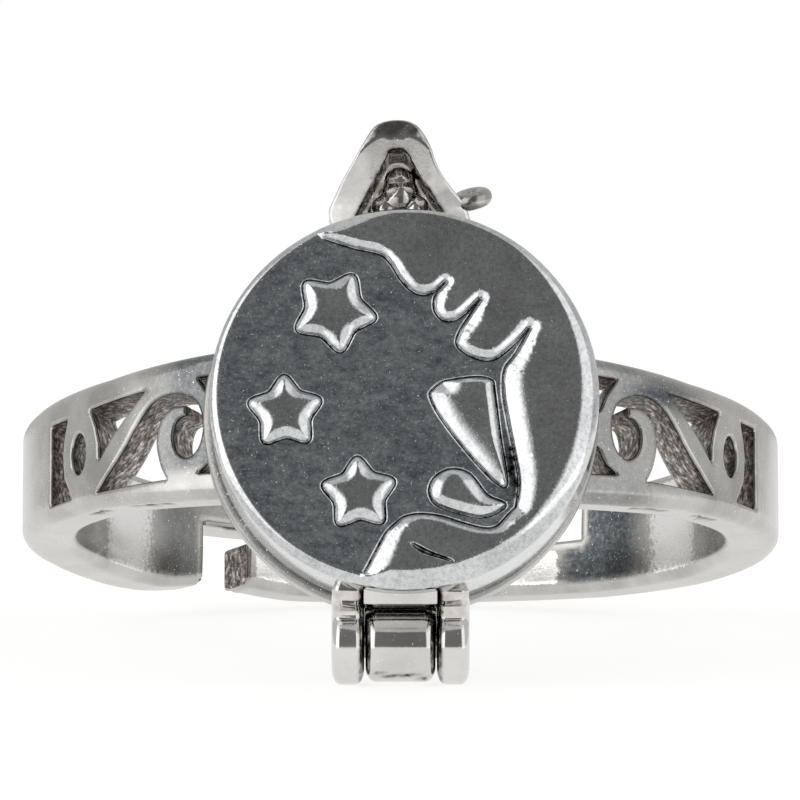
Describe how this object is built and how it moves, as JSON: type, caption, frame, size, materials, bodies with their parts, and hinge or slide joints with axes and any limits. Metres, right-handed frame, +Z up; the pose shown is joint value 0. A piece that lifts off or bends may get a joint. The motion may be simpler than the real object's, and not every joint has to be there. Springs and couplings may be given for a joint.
{
  "type": "poison ring",
  "caption": "Silver finger ring with a small round hinged locket box on its front, moon and stars in relief on the lid and pierced scrolls in the shoulders.",
  "frame": {"origin": "middle of the bounding box in X and Y, on the surface that the ring lies on", "axes": "+Z up with the ring lying at rest on its hinge and the back of its band, -Y the way the lid faces, +X to the right of somebody who looks at the lid"},
  "size_m": [0.0214, 0.0256, 0.0152],
  "materials": {
    "band_silver": "cast sterling silver, satin, darkened in the hollows",
    "lid_silver": "cast sterling silver, satin, darkened ground behind a brighter relief",
    "pin_silver": "drawn silver wire, tarnished"
  },
  "bodies": {
    "ring_body": {"band_and_cup": "band_silver"},
    "cover": {"lid": "lid_silver", "hinge_pin": "pin_silver"}
  },
  "joints": [
    {"name": "lid_hinge", "type": "hinge", "parent": "ring_body", "child": "cover", "pos_m": [0, -0.01043, 0.00106], "axis": [1, 0, 0], "range_deg": [0, 150]}
  ]
}
